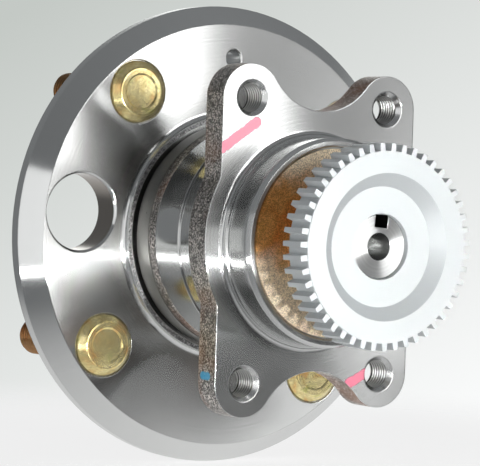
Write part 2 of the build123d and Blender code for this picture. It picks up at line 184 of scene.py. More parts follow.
class HubBearingSizes(bpy.types.PropertyGroup):
    """Sizes of what is added to the solids, and of where one finish gives way to another."""

    stud_pitch: length("Stud thread pitch", "Rise of the wheel stud's thread per turn", 0.0015)
    stud_thread: length("Stud thread depth", "Depth of the wheel stud's thread", 0.0009)
    stud_plain: length("Stud plain length", "Length of the plain shank outside the wheel face", 0.0048)
    stud_chamfer: length("Stud tip chamfer", "Width of the chamfer at the stud's tip", 0.0012)
    hole_pitch: length("Knuckle thread pitch", "Rise of the tapped holes' thread per turn", 0.00125)
    hole_thread: length("Knuckle thread depth", "Depth of the tapped holes' thread", 0.00065)
    hole_chamfer: length("Knuckle hole chamfer", "Depth of the chamfer at a tapped hole's mouth", 0.0013)
    boss_depth: length("Boss depth", "Depth of the rough end face of the hub's boss", 0.0121)
    bevel_r: length("Bevel radius", "Radius at which the bevel of the wheel flange starts", 0.067)
    access_x: length("Access hole X", "Place of the access hole's axis across the hub", -0.05454, -1.0)
    access_z: length("Access hole Z", "Place of the access hole's axis up the hub", 0.0067, -1.0)
    access_r: length("Access hole radius", "Radius of the drilled access hole", 0.0121)
    slot_angle: bpy.props.FloatProperty(
        name="Slot angle", description="Angle of the slot round the spin axis, from X",
        default=math.radians(84.5), subtype="ANGLE",
    )
    slot_width: length("Slot width", "Width of the slot milled in the spindle's end", 0.0046)
    slot_floor: length("Slot floor", "Distance of the slot's floor from the spin axis", 0.0057)
    slot_top: length("Slot top", "Distance from the spin axis at which the slot's walls end", 0.0097)
    slot_length: length("Slot length", "Length of the slot along the spindle", 0.013)
    stroke_width: length("Paint stroke width", "Width of the inspector's paint strokes", 0.0032)
    dab_width: length("Paint dab width", "Width of the dab of paint on the knuckle's edge", 0.0024)
    knuckle_thickness: length("Knuckle flange thickness", "Thickness of the lobed flange", 0.0102)
    neck_r: length("Neck radius", "Radius beyond which the lobed flange's edge is left as forged", 0.0382)
    band_width: length("Band width", "Width of the forged band beside the seal shield", 0.0036)
    band_r: length("Band radius", "Radius beyond which the band beside the shield is forged", 0.0354)
    cone_r: length("Cone radius", "Middle radius of the cone in the tone ring's dish", 0.0202)
    cone_width: length("Cone width", "Width of the cone in the tone ring's dish", 0.0044)
    # These sizes place the plate's band of painted shade, and the painted light above and below it.
    shade_band_height: length("Film height", "Highest place of the middle of the plate's thick film", 0.015)
    shade_band_half: length("Film half width", "Distance from that middle at which the film starts to thin", 0.008)
    shade_band_end: length("Film end", "Distance from that middle at which the film is thinnest", 0.017)
    shade_band_wander: length("Film wander", "How far down that middle wanders", 0.016)


class HubBearingColours(bpy.types.PropertyGroup):
    """Colours of the finishes."""

    turned: colour("Turned steel", "Bright steel fresh from the lathe", "#D2D3D2")
    forged: colour("Forged skin", "Scaled and shot-blasted skin of the forging", "#8E8A86")
    # This near black is forging scale, darkened as painted shade for the pocket between the flanges.
    scale: colour("Forging scale", "Dark scale left on the back of the lobed flange", "#45403C")
    rust: colour("Rust bloom", "Thin rust on the forged skin", "#9C6A4A")
    thread: colour("Tapped thread", "Bright crests of the tapped threads", "#DADAD8")
    blasted: colour("Blasted lip", "Pale grain left on the boss's end face", "#A9A9AA")
    # This darker tone is painted shade inside the drilled access hole.
    drilled: colour("Drilled wall", "Steel in the drilled access hole", "#8F8982")
    # This near black is painted shade, deep in the spindle's slot and in the thread roots, where it also
    # stands for oil.
    slot: colour("Milled slot", "Oil-blackened steel in the slot and the thread roots", "#2A2826")
    shield: colour("Shield", "Phosphated sheet steel", "#A9A8A3")
    zinc: colour("Yellow zinc", "Yellow chromate over zinc plate", "#DDCB90")
    plate: colour("Plate", "Yellow chromate over dull sheet steel", "#C8904F")
    # This cream is painted light on the slinger plate, above and below its band of painted shade.
    lit_cream: colour("Bare zinc", "Zinc that shows through the yellow film", "#F6ECD4")
    # This brown is the threads' film, darkened as painted shade.
    thread_film_and_shade: colour("Stud thread", "Brown film that gathers in the studs' threads", "#95704A")
    tone: colour("Tone ring", "Sintered steel under matt zinc flake", "#CED2D3")
    # This darker tone is painted shade on the cone in the tone ring's dish.
    cone: colour("Tone ring cone", "Sintered steel as pressed, in the tone ring's dish", "#BABEBF")
    rubber: colour("Seal rubber", "Black nitrile rubber", "#1C1B1A")
    cage: colour("Cage", "Natural glass-filled nylon", "#D8CDB0")
    paint: colour("Inspection paint", "Pink marker strokes on the knuckle face", "#E0728B")
    dab: colour("Paint dab", "Blue dab on the knuckle's edge", "#4ABBE8")
    floor: colour("Floor", "Pale studio paper", "#F6F7F7")
    sweep_foot: colour("Backdrop foot", "Backdrop paper near the floor", "#FEFFFF")
    sweep_top: colour("Backdrop top", "Backdrop paper in the shade above", "#C4C9C5")


def sizes():
    """The scene's sizes."""
    return bpy.context.scene.hub_bearing_sizes


def colours():
    """The scene's colours."""
    return bpy.context.scene.hub_bearing_colours


def add(tree, kind, inputs=None, stops=(), **settings):
    """Adds a node, sets it, fills or links its inputs and gives a colour ramp its stops."""
    made = tree.nodes.new(kind)
    for name, value in settings.items():
        setattr(made, name, value)
    for name, value in (inputs or {}).items():
        if isinstance(value, bpy.types.NodeSocket):
            tree.links.new(value, made.inputs[name])
        else:
            made.inputs[name].default_value = value
    for i, (at, shade) in enumerate(stops):
        stop = made.color_ramp.elements[i] if i < 2 else made.color_ramp.elements.new(at)
        stop.position = at
        stop.color = rgba(shade)
    return made


def put(name, data):
    """Adds an object to the scene, at the origin."""
    made = bpy.data.objects.new(name, data)
    bpy.context.scene.collection.objects.link(made)
    return made


def new_material(name):
    """A material with an empty node tree, as (material, tree)."""
    material = bpy.data.materials.new(name)
    material.use_nodes = True
    material.node_tree.nodes.clear()
    return material, material.node_tree


def painted(tree, place, shader, marks, shade, width):
    """Marker paint over a finish: matt strokes with bristly edges; each mark is its start and end."""
    if not marks:
        return shader
    bristle = add(tree, "ShaderNodeTexNoise", {"Vector": place, "Scale": per_metre(1.2), "Detail": 3.0})
    ragged = add(
        tree, "ShaderNodeMapRange",
        {"Value": bristle.outputs["Fac"], "To Min": -STROKE_RAGGED, "To Max": STROKE_RAGGED},
    )
    half = width / 2
    cover = 0.0
    for start, end in marks:
        run = Vector(end) - Vector(start)
        from_start = add(tree, "ShaderNodeVectorMath", {0: place, 1: start}, operation="SUBTRACT")
        share = add(
            tree, "ShaderNodeVectorMath", {0: from_start.outputs[0], 1: run / run.length_squared},
            operation="DOT_PRODUCT",
        )
        along = add(tree, "ShaderNodeClamp", {"Value": share.outputs["Value"]})
        foot = add(tree, "ShaderNodeVectorMath", {0: run, "Scale": along.outputs[0]}, operation="SCALE")
        gap = add(
            tree, "ShaderNodeVectorMath", {0: from_start.outputs[0], 1: foot.outputs[0]},
            operation="DISTANCE",
        )
        edge = add(
            tree, "ShaderNodeMath", {0: gap.outputs["Value"], 1: ragged.outputs[0]}, operation="ADD",
        )
        inside = add(
            tree, "ShaderNodeMapRange",
            {
                "Value": edge.outputs[0], "From Min": half + STROKE_SOFT, "From Max": half - STROKE_SOFT,
                "To Max": STROKE_COVER,
            },
        )
        joined = add(tree, "ShaderNodeMath", {0: cover, 1: inside.outputs[0]}, operation="MAXIMUM")
        cover = joined.outputs[0]
    film = add(tree, "ShaderNodeBsdfPrincipled", {"Base Color": rgba(shade), "Roughness": 0.45})
    return add(tree, "ShaderNodeMixShader", {0: cover, 1: shader.outputs[0], 2: film.outputs[0]})


def turned_steel(name, marks=(), roughness=0.19, anisotropic=0.93):
    """Bearing steel as the lathe leaves it: fine rings that pull each highlight into a radial wedge."""
    material, tree = new_material(name)
    place = add(tree, "ShaderNodeTexCoord").outputs["Object"]
    flat = add(tree, "ShaderNodeVectorMath", {0: place, 1: (1.0, 0.0, 1.0)}, operation="MULTIPLY")
    radius = add(tree, "ShaderNodeVectorMath", {0: flat.outputs[0]}, operation="LENGTH")
    depth = add(tree, "ShaderNodeSeparateXYZ", {0: place})
    across = add(
        tree, "ShaderNodeMath", {0: radius.outputs["Value"], 1: depth.outputs["Y"]}, operation="SUBTRACT",
    )
    # The tool feeds about 0.15 mm a turn; its rings are drawn 0.6 mm apart so that they show.
    rings = add(
        tree, "ShaderNodeTexNoise", {"W": across.outputs[0], "Scale": per_metre(0.6), "Detail": 2.0},
        noise_dimensions="1D",
    )
    steel = np.array(colours().turned)
    tone = add(
        tree, "ShaderNodeMix",
        {"Factor": rings.outputs["Fac"], "A": rgba(steel * 0.88), "B": rgba(steel * 1.1)}, data_type="RGBA",
    )
    # Wiped oil dulls the gloss in patches.
    smear = add(tree, "ShaderNodeTexNoise", {"Vector": place, "Scale": per_metre(14.0), "Detail": 3.0})
    rough = add(
        tree, "ShaderNodeMapRange",
        {"Value": smear.outputs["Fac"], "To Min": roughness - 0.03, "To Max": roughness + 0.03},
    )
    # The tool marks run round the spin axis and turn with the piece.
    lay = add(tree, "ShaderNodeVectorMath", {0: (0.0, 1.0, 0.0), 1: place}, operation="CROSS_PRODUCT")
    world_lay = add(
        tree, "ShaderNodeVectorTransform", {"Vector": lay.outputs[0]},
        vector_type="VECTOR", convert_from="OBJECT", convert_to="WORLD",
    )
    broken = add(tree, "ShaderNodeBevel", {"Radius": TURNED_EDGE}, samples=EDGE_SAMPLES)
    shader = add(
        tree, "ShaderNodeBsdfPrincipled",
        {
            "Base Color": tone.outputs["Result"], "Metallic": 1.0, "Roughness": rough.outputs[0],
            "Anisotropic": anisotropic, "Anisotropic Rotation": 0.25, "Tangent": world_lay.outputs[0],
            "Normal": broken.outputs[0],
        },
    )
    finish = painted(tree, place, shader, marks, colours().paint, sizes().stroke_width)
    add(tree, "ShaderNodeOutputMaterial", {"Surface": finish.outputs[0]})
    return material


def blasted_skin(name, base, grain_mm, contrast, marks=(), rust=0.0):
    """Forging skin, shot-blasted: bright struck facets and dark pits, dull as a whole, bright at its edges.

    Shot leaves marks of 0.1 to 0.2 mm. They are drawn as wide as grain_mm says, so that they show.
    """
    material, tree = new_material(name)
    place = add(tree, "ShaderNodeTexCoord").outputs["Object"]
    struck = add(tree, "ShaderNodeTexVoronoi", {"Vector": place, "Scale": per_metre(grain_mm)})
    facet = add(tree, "ShaderNodeSeparateColor", {0: struck.outputs["Color"]})
    patch = add(tree, "ShaderNodeTexNoise", {"Vector": place, "Scale": per_metre(6.0), "Detail": 3.0})
    worn = add(tree, "ShaderNodeMapRange", {"Value": patch.outputs["Fac"], "To Min": 0.6, "To Max": 1.4})
    mixed = add(
        tree, "ShaderNodeMath", {0: facet.outputs["Red"], 1: worn.outputs[0]}, operation="MULTIPLY",
    )
    skin_tone = np.array(base)
    skin = add(
        tree, "ShaderNodeValToRGB", {"Fac": mixed.outputs[0]},
        ((0.1, skin_tone / contrast), (0.55, skin_tone), (0.95, skin_tone * contrast)),
    )
    relief = add(
        tree, "ShaderNodeBump",
        {"Strength": 0.6, "Distance": 0.00015, "Height": struck.outputs["Distance"]},
    )
    bloom = add(tree, "ShaderNodeTexNoise", {"Vector": place, "Scale": per_metre(22.0), "Detail": 3.0})
    rusted = add(
        tree, "ShaderNodeMapRange",
        {"Value": bloom.outputs["Fac"], "From Min": 0.48, "From Max": 0.66, "To Max": rust},
    )
    aged = add(
        tree, "ShaderNodeMix",
        {"Factor": rusted.outputs[0], "A": skin.outputs["Color"], "B": rgba(colours().rust)},
        data_type="RGBA",
    )
    # An edge is where the bevelled normal bends away from the face's own; handling wears it bright.
    broken = add(tree, "ShaderNodeBevel", {"Radius": FORGED_EDGE}, samples=EDGE_SAMPLES)
    level = add(tree, "ShaderNodeNewGeometry")
    bend = add(
        tree, "ShaderNodeVectorMath", {0: broken.outputs[0], 1: level.outputs["Normal"]},
        operation="DOT_PRODUCT",
    )
    edge = add(
        tree, "ShaderNodeMapRange", {"Value": bend.outputs["Value"], "From Min": 0.98, "From Max": 0.85},
    )
    handled = add(
        tree, "ShaderNodeMix",
        {"Factor": edge.outputs[0], "A": aged.outputs["Result"], "B": rgba(colours().turned)},
        data_type="RGBA",
    )
    shader = add(
        tree, "ShaderNodeBsdfPrincipled",
        {
            "Base Color": handled.outputs["Result"], "Metallic": 0.9, "Roughness": 0.4,
            "Normal": relief.outputs[0],
        },
    )
    finish = painted(tree, place, shader, marks, colours().dab, sizes().dab_width)
    add(tree, "ShaderNodeOutputMaterial", {"Surface": finish.outputs[0]})
    return material


def plain_metal(name, base, roughness, grain_mm=0.6, bump=0.1, metallic=1.0):
    """Pressed, drilled or sintered metal: one even tone, with a fine grain that breaks up the gloss.

    Such grain is about 0.1 mm wide. It is drawn as wide as grain_mm says, so that it shows.
    """
    material, tree = new_material(name)
    place = add(tree, "ShaderNodeTexCoord").outputs["Object"]
    grain = add(tree, "ShaderNodeTexNoise", {"Vector": place, "Scale": per_metre(grain_mm), "Detail": 2.0})
    rough = add(
        tree, "ShaderNodeMapRange",
        {"Value": grain.outputs["Fac"], "To Min": roughness - 0.06, "To Max": roughness + 0.06},
    )
    relief = add(
        tree, "ShaderNodeBump", {"Strength": bump, "Distance": 0.0001, "Height": grain.outputs["Fac"]},
    )
    shader = add(
        tree, "ShaderNodeBsdfPrincipled",
        {
            "Base Color": rgba(base), "Metallic": metallic, "Roughness": rough.outputs[0],
            "Normal": relief.outputs[0],
        },
    )
    add(tree, "ShaderNodeOutputMaterial", {"Surface": shader.outputs[0]})
    return material


# thin is the share of painted light: pale cream above and below a band of painted shade across the middle.
def yellow_zinc(name, base, roughness, metallic, grain_mm, grain, film_mm, thin=0.0):
    """Zinc plate under yellow chromate: gold that wanders to rose and olive as the film thickens.

    The plate's crystals are under 0.1 mm wide. They are drawn as wide as grain_mm says, so that they show.
    """
    material, tree = new_material(name)
    place = add(tree, "ShaderNodeTexCoord").outputs["Object"]
    film = add(
        tree, "ShaderNodeTexNoise",
        {"Vector": place, "Scale": per_metre(film_mm), "Detail": 3.0, "Distortion": 0.6},
    )
    gold = np.array(base)
    rose = gold * (1.0, 0.74, 0.62)
    pale = gold * (1.1, 1.15, 1.3)
    olive = gold * (0.86, 0.97, 0.8)
    tinted = add(
        tree, "ShaderNodeValToRGB", {"Fac": film.outputs["Fac"]},
        ((0.3, rose), (0.45, gold), (0.58, pale), (0.7, olive)),
    )
    spangle = add(tree, "ShaderNodeTexVoronoi", {"Vector": place, "Scale": per_metre(grain_mm)})
    facet = add(tree, "ShaderNodeSeparateColor", {0: spangle.outputs["Color"]})
    bright = add(
        tree, "ShaderNodeMapRange",
        {"Value": facet.outputs["Red"], "To Min": 1.0 - grain, "To Max": 1.0 + grain},
    )
    thick = add(
        tree, "ShaderNodeVectorMath", {0: tinted.outputs["Color"], "Scale": bright.outputs[0]},
        operation="SCALE",
    )
    lit_cream = add(
        tree, "ShaderNodeVectorMath", {0: colours().lit_cream, "Scale": bright.outputs[0]}, operation="SCALE",
    )
    # A band across the middle of the plate keeps the film's brown as painted shade. Above and below it, the
    # colour turns cream as painted light.
    height = add(tree, "ShaderNodeSeparateXYZ", {0: place})
    ragged = add(
        tree, "ShaderNodeMath",
        {0: film.outputs["Fac"], 1: sizes().shade_band_wander, 2: height.outputs["Z"]}, operation="MULTIPLY_ADD",
    )
    band = add(tree, "ShaderNodeMath", {0: ragged.outputs[0], 1: sizes().shade_band_height}, operation="SUBTRACT")
    away = add(tree, "ShaderNodeMath", {0: band.outputs[0]}, operation="ABSOLUTE")
    lit_share = add(
        tree, "ShaderNodeMapRange",
        {
            "Value": away.outputs[0], "From Min": sizes().shade_band_half, "From Max": sizes().shade_band_end,
            "To Max": thin,
        },
        interpolation_type="SMOOTHSTEP",
    )
    film_and_light = add(
        tree, "ShaderNodeMix",
        {"Factor": lit_share.outputs[0], "A": thick.outputs[0], "B": lit_cream.outputs[0]}, data_type="RGBA",
    )
    relief = add(
        tree, "ShaderNodeBump",
        {"Strength": grain, "Distance": 0.0001, "Height": spangle.outputs["Distance"]},
    )
    shader = add(
        tree, "ShaderNodeBsdfPrincipled",
        {
            "Base Color": film_and_light.outputs["Result"], "Metallic": metallic, "Roughness": roughness,
            "Normal": relief.outputs[0],
        },
    )
    add(tree, "ShaderNodeOutputMaterial", {"Surface": shader.outputs[0]})
    return material


def cut_thread(name):
    """A tapped thread: bright crests over roots darkened with painted shade, which also stands for the oil
    held there, so that each turn stands out.
    """
    material, tree = new_material(name)
    groove = add(tree, "ShaderNodeAttribute", attribute_name="groove")
    root_shade = add(
        tree, "ShaderNodeMapRange", {"Value": groove.outputs["Fac"], "From Min": 0.2, "From Max": 0.7},
    )
    shaded_thread = add(
        tree, "ShaderNodeMix",
        {"Factor": root_shade.outputs[0], "A": rgba(colours().thread), "B": rgba(colours().slot)},
        data_type="RGBA",
    )
    shader = add(
        tree, "ShaderNodeBsdfPrincipled",
        {"Base Color": shaded_thread.outputs["Result"], "Metallic": 1.0, "Roughness": 0.32},
    )
    add(tree, "ShaderNodeOutputMaterial", {"Surface": shader.outputs[0]})
    return material


def moulded(name, base, roughness):
    """Moulded rubber or nylon: one even tone with a soft, wide highlight."""
    material, tree = new_material(name)
    shader = add(tree, "ShaderNodeBsdfPrincipled", {"Base Color": rgba(base), "Roughness": roughness})
    add(tree, "ShaderNodeOutputMaterial", {"Surface": shader.outputs[0]})
    return material


def one_finish(mesh, material):
    """Gives a whole mesh one finish."""
    mesh.materials.clear()
    mesh.materials.append(material)
    mesh.polygons.foreach_set("material_index", np.zeros(len(mesh.polygons), np.int32))


def dress(names, material):
    """Gives one finish to whole solids."""
    for name in names:
        one_finish(NODES[name].data, material)


def further_finishes(mesh, picks):
    """Gives more finishes to picked faces, as (faces, material); a face takes the first that picks it."""
    for faces, material in picks:
        mesh.materials.append(material)
    finish = np.select([faces for faces, material in picks], list(range(1, len(picks) + 1)), 0)
    mesh.polygons.foreach_set("material_index", finish.astype(np.int32))


def face_data(mesh):
    """Centres and normals of a mesh's faces, as arrays."""
    centres = np.zeros(len(mesh.polygons) * 3, np.float32)
    normals = np.zeros(len(mesh.polygons) * 3, np.float32)
    mesh.polygons.foreach_get("center", centres)
    mesh.polygons.foreach_get("normal", normals)
    return centres.reshape(-1, 3), normals.reshape(-1, 3)


def part_of(source, keep, name):
    """A mesh with the kept faces of another, with their own shading normals and finishes."""
    corners = np.array([c.vector for c in source.corner_normals])
    points = np.array([v.co for v in source.vertices])
    faces, normals, finish, used = [], [], [], {}
    for face in source.polygons:
        if keep[face.index]:
            faces.append([used.setdefault(v, len(used)) for v in face.vertices])
            normals.extend(corners[list(face.loop_indices)])
            finish.append(face.material_index)
    mesh = bpy.data.meshes.new(name)
    mesh.from_pydata(points[list(used)].tolist(), [], faces)
    mesh.polygons.foreach_set("use_smooth", np.ones(len(faces), bool))
    mesh.polygons.foreach_set("material_index", np.array(finish, np.int32))
    mesh.normals_split_custom_set([tuple(n) for n in normals])
    for material in source.materials:
        mesh.materials.append(material)
    return mesh


def thread_tree():
    """Node tree for a threaded wall at each point: a rolled-up grid whose radius follows a thread."""
    tree = bpy.data.node_groups.new("Threaded walls", "GeometryNodeTree")
    face = tree.interface
    face.new_socket("Points", in_out="INPUT", socket_type="NodeSocketGeometry")
    for label in ("Wall Radius", "Thread Depth", "Pitch", "Length", "Way", "Tip Chamfer"):
        face.new_socket(label, in_out="INPUT", socket_type="NodeSocketFloat")
    for label in ("Around", "Along"):
        face.new_socket(label, in_out="INPUT", socket_type="NodeSocketInt")
    face.new_socket("Finish", in_out="INPUT", socket_type="NodeSocketMaterial")
    face.new_socket("Walls", in_out="OUTPUT", socket_type="NodeSocketGeometry")
    given = add(tree, "NodeGroupInput").outputs
    grid = add(
        tree, "GeometryNodeMeshGrid",
        {"Size X": 1.0, "Size Y": 1.0, "Vertices X": given["Around"], "Vertices Y": given["Along"]},
    )
    place = add(tree, "ShaderNodeSeparateXYZ", {0: add(tree, "GeometryNodeInputPosition").outputs[0]})
    known = {socket.name: socket for socket in given}
    known.update({"across": place.outputs["X"], "up": place.outputs["Y"]})
    # Each row names a value and works it out from the sizes given and the rows above it.
    rule = (
        ("turn", "ADD", "across", 0.5),
        ("share", "ADD", "up", 0.5),
        ("along", "MULTIPLY", "share", "Length"),
        ("left", "SUBTRACT", "Length", "along"),
        ("turns", "DIVIDE", "along", "Pitch"),
        ("turns left", "DIVIDE", "left", "Pitch"),
        ("phase", "SUBTRACT", "turns", "turn"),
        ("zigzag", "PINGPONG", "phase", 0.5),
        ("flank", "MULTIPLY_ADD", "zigzag", 2 / THREAD_FLANK, -THREAD_FLAT / THREAD_FLANK),
        ("crested", "MAXIMUM", "flank", 0.0),
        ("groove", "MINIMUM", "crested", 1.0),
        ("to an end", "MINIMUM", "turns", "turns left"),
        ("run-out", "DIVIDE", "to an end", THREAD_RUN_OUT),
        ("fade", "MINIMUM", "run-out", 1.0),
        ("cut", "MULTIPLY", "groove", "fade"),
        ("wall", "MULTIPLY_ADD", "cut", "Thread Depth", "Wall Radius"),
        ("into tip", "SUBTRACT", "Tip Chamfer", "left"),
        ("lead", "MAXIMUM", "into tip", 0.0),
        ("cone", "SUBTRACT", "Wall Radius", "lead"),
        ("tip", "MINIMUM", "wall", "cone"),
        ("tipped", "GREATER_THAN", "Tip Chamfer", 0.0),
        ("trim", "SUBTRACT", "tip", "wall"),
        ("trimmed", "MULTIPLY_ADD", "trim", "tipped", "wall"),
        ("last row", "LESS_THAN", "left", 1e-7),
        ("closed", "MULTIPLY", "last row", "tipped"),
        ("open", "SUBTRACT", 1.0, "closed"),
        ("radius", "MULTIPLY", "trimmed", "open"),
        ("angle", "MULTIPLY", "turn", 2 * math.pi),
        ("cosine", "COSINE", "angle"),
        ("sine", "SINE", "angle"),
        ("x", "MULTIPLY", "radius", "cosine"),
        ("y", "MULTIPLY", "along", "Way"),
        ("z", "MULTIPLY", "radius", "sine"),
    )
    for name, operation, *terms in rule:
        inputs = {i: known.get(term, term) for i, term in enumerate(terms)}
        known[name] = add(tree, "ShaderNodeMath", inputs, operation=operation).outputs[0]
    spot = add(tree, "ShaderNodeCombineXYZ", {"X": known["x"], "Y": known["y"], "Z": known["z"]})
    marked = add(
        tree, "GeometryNodeStoreNamedAttribute",
        {"Geometry": grid.outputs["Mesh"], "Name": "groove", "Value": known["groove"]},
        data_type="FLOAT", domain="POINT",
    )
    rolled = add(
        tree, "GeometryNodeSetPosition", {"Geometry": marked.outputs[0], "Position": spot.outputs[0]},
    )
    joined = add(tree, "GeometryNodeMergeByDistance", {"Geometry": rolled.outputs[0], "Distance": 1e-6})
    outward = add(tree, "GeometryNodeFlipFaces", {"Mesh": joined.outputs[0]})
    smooth = add(tree, "GeometryNodeSetShadeSmooth", {"Geometry": outward.outputs[0]})
    each = add(
        tree, "GeometryNodeInstanceOnPoints", {"Points": given["Points"], "Instance": smooth.outputs[0]},
    )
    real = add(tree, "GeometryNodeRealizeInstances", {"Geometry": each.outputs[0]})
    finished = add(
        tree, "GeometryNodeSetMaterial", {"Geometry": real.outputs[0], "Material": given["Finish"]},
    )
    add(tree, "NodeGroupOutput", {"Walls": finished.outputs[0]})
    return tree


def threaded_walls(name, points, values):
    """Runs the thread tree on a set of points and keeps the result as a plain mesh."""
    tree = bpy.data.node_groups.get("Threaded walls") or thread_tree()
    seed = bpy.data.meshes.new(name + " points")
    seed.from_pydata(points, [], [])
    holder = put(name, seed)
    maker = holder.modifiers.new("Threads", "NODES")
    maker.node_group = tree
    for item in tree.interface.items_tree:
        if item.in_out == "INPUT" and item.name in values:
            maker[item.identifier] = values[item.name]
    bpy.context.view_layer.update()
    shaped = holder.evaluated_get(bpy.context.evaluated_depsgraph_get())
    made = bpy.data.meshes.new_from_object(shaped)
    holder.modifiers.remove(maker)
    holder.data = made
    if len(made.polygons) == 0:
        raise RuntimeError(name + " came out empty")
    one_finish(made, values["Finish"])
    return holder


def hole_centres():
    """Centres of the four tapped holes at the knuckle, as (x, z)."""
    centres = []
    for name in ("knuckle_bolts_near", "knuckle_bolts_far"):
        mount = MOUNTS[name]
        half = mount["dims"]["spacing_y_mm"] * MM / 2
        centres += [(mount["pos_m"][0], half), (mount["pos_m"][0], -half)]
    return centres


class HUB_OT_turned_hub(bpy.types.Operator):
    """Gives the hub its turned steel, and its lip, hole, bevel, spindle end and slot their own finishes"""

    bl_idname = "hub_bearing.turned_hub"
    bl_label = "Turned hub"

    def execute(self, context):
        mesh = NODES["hub"].data
        dress(["hub"], turned_steel("bearing steel, finish turned"))
        centres, normals = face_data(mesh)
        x, y, z = centres.T
        lip = np.abs(y + sizes().boss_depth) < NEAR
        to_access = np.hypot(x - sizes().access_x, z - sizes().access_z)
        wall = (to_access < sizes().access_r + NEAR) & (np.abs(normals[:, 1]) < 0.5)
        faced = (y < SPINDLE_END + NEAR) & (normals[:, 1] < -0.5)
        turn = sizes().slot_angle
        up_slot = x * math.cos(turn) + z * math.sin(turn)
        off_slot = z * math.cos(turn) - x * math.sin(turn)
        slot = (np.abs(off_slot) < sizes().slot_width / 2 + NEAR) & (up_slot > sizes().slot_floor - NEAR)
        slot &= (y < SPINDLE_END + sizes().slot_length + NEAR) & (up_slot < sizes().slot_top)
        # The bevel's faces lean by 45 degrees.
        bevel = (np.hypot(x, z) > sizes().bevel_r) & (np.abs(normals[:, 1] + 0.7) < 0.15)
        # The lip is dull and speckled. The drilled wall is half glossy and darker, as painted shade in the
        # hole, and the slot is near black, as painted shade in the slot. The spindle's end has a broad wedge
        # of light, and the bevel a narrow bright one.
        further_finishes(
            mesh,
            (
                (lip, blasted_skin("bearing steel, blasted lip", colours().blasted, 0.5, 1.8)),
                (wall, plain_metal("bearing steel, drilled wall, painted shade", colours().drilled, 0.22, 0.8, 0.05)),
                (faced, turned_steel("bearing steel, faced spindle end", (), 0.3, 0.96)),
                (slot, plain_metal("bearing steel, milled slot, painted shade", colours().slot, 0.5, 0.8)),
                (bevel, turned_steel("bearing steel, fine-turned bevel", (), 0.14, 0.8)),
            ),
        )
        return {"FINISHED"}


class HUB_OT_outer_ring(bpy.types.Operator):
    """Splits the outer ring into forged skin and machined faces and cuts its threads"""

    bl_idname = "hub_bearing.outer_ring"
    bl_label = "Outer ring"

    def execute(self, context):
        mesh = NODES["outer_ring"].data
        one_finish(mesh, turned_steel("bearing steel, turned ring", STROKES))
        holes = hole_centres()
        centres, normals = face_data(mesh)
        x, y, z = centres.T
        depth = -y
        radius = np.hypot(x, z)
        to_hole = np.min([np.hypot(x - hole_x, z - hole_z) for hole_x, hole_z in holes], axis=0)
        back = FACE_DEPTH - sizes().knuckle_thickness
        rim = (depth > back - NEAR) & (depth < FACE_DEPTH - NEAR) & (radius > sizes().neck_r)
        rim &= to_hole > HOLE_R + sizes().hole_chamfer + NEAR
        band = (depth > SHIELD_END - NEAR) & (depth < SHIELD_END + sizes().band_width)
        band &= radius > sizes().band_r
        shaded_back = rim & (normals[:, 1] > 0.5)
        ground = (np.abs(normals[:, 1]) < 0.5) & (radius < sizes().neck_r)
        # The lobed flange's back faces are matt and nearly black: forging scale, darkened further as painted
        # shade for the pocket between the flanges. Blasted skin is peppered, and ground steel is close to a
        # mirror.
        skin = blasted_skin("forged steel, shot-blasted skin", colours().forged, 0.4, 3.2, DAB, 0.6)
        further_finishes(
            mesh,
            (
                (shaded_back, blasted_skin("forged steel, dark scale and painted shade", colours().scale, 0.25, 2.0)),
                (rim | band, skin),
                (ground, turned_steel("bearing steel, ground cylinder", (), 0.13, 0.7)),
            ),
        )
        wall = (to_hole < HOLE_R + NEAR) & (np.abs(normals[:, 1]) < 0.5)
        body = put("outer_ring_threaded", part_of(mesh, ~wall, "outer_ring_threaded"))
        threads = threaded_walls(
            "knuckle_threads",
            [(hole_x, -back, hole_z) for hole_x, hole_z in holes],
            {
                "Wall Radius": HOLE_R, "Thread Depth": sizes().hole_thread, "Pitch": sizes().hole_pitch,
                "Length": sizes().knuckle_thickness - sizes().hole_chamfer, "Way": -1.0, "Tip Chamfer": 0.0,
                "Around": THREAD_AROUND, "Along": HOLE_ALONG, "Finish": cut_thread("steel, tapped thread, painted root shade"),
            },
        )
        for piece in (body, threads):
            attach(piece, "outer_ring")
        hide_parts("outer_ring")
        return {"FINISHED"}


class HUB_OT_wheel_studs(bpy.types.Operator):
    """Plates the wheel studs and cuts their threads"""

    bl_idname = "hub_bearing.wheel_studs"
    bl_label = "Wheel studs"

    def execute(self, context):
        # The heads are pale gold and glossy. The threads hold more film, so they are brown, and they are
        # darkened further as painted shade.
        zinc = yellow_zinc("steel, yellow zinc plated studs", colours().zinc, 0.27, 0.85, 0.6, 0.12, 6.0)
        thread_film_and_shade = yellow_zinc("steel, yellow zinc plated thread, painted shade", colours().thread_film_and_shade, 0.36, 1.0, 0.6, 0.12, 6.0)
        dress(STUDS, zinc)
        centres = [sum(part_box(n), Vector()) / 2 for n in STUDS]
        threads = threaded_walls(
            "wheel_stud_threads",
            [(c.x, sizes().stud_plain, c.z) for c in centres],
            {
                "Wall Radius": STUD_R, "Thread Depth": -sizes().stud_thread, "Pitch": sizes().stud_pitch,
                "Length": STUD_LEN - sizes().stud_plain, "Way": 1.0, "Tip Chamfer": sizes().stud_chamfer,
                "Around": THREAD_AROUND, "Along": STUD_ALONG, "Finish": thread_film_and_shade,
            },
        )
        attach(threads, "hub")
        for name in STUDS:
            mesh = NODES[name].data
            unthreaded = face_data(mesh)[0][:, 1] < sizes().stud_plain
            head = put(name + "_head", part_of(mesh, unthreaded, name + "_head"))
            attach(head, "hub")
            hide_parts(name)
        return {"FINISHED"}


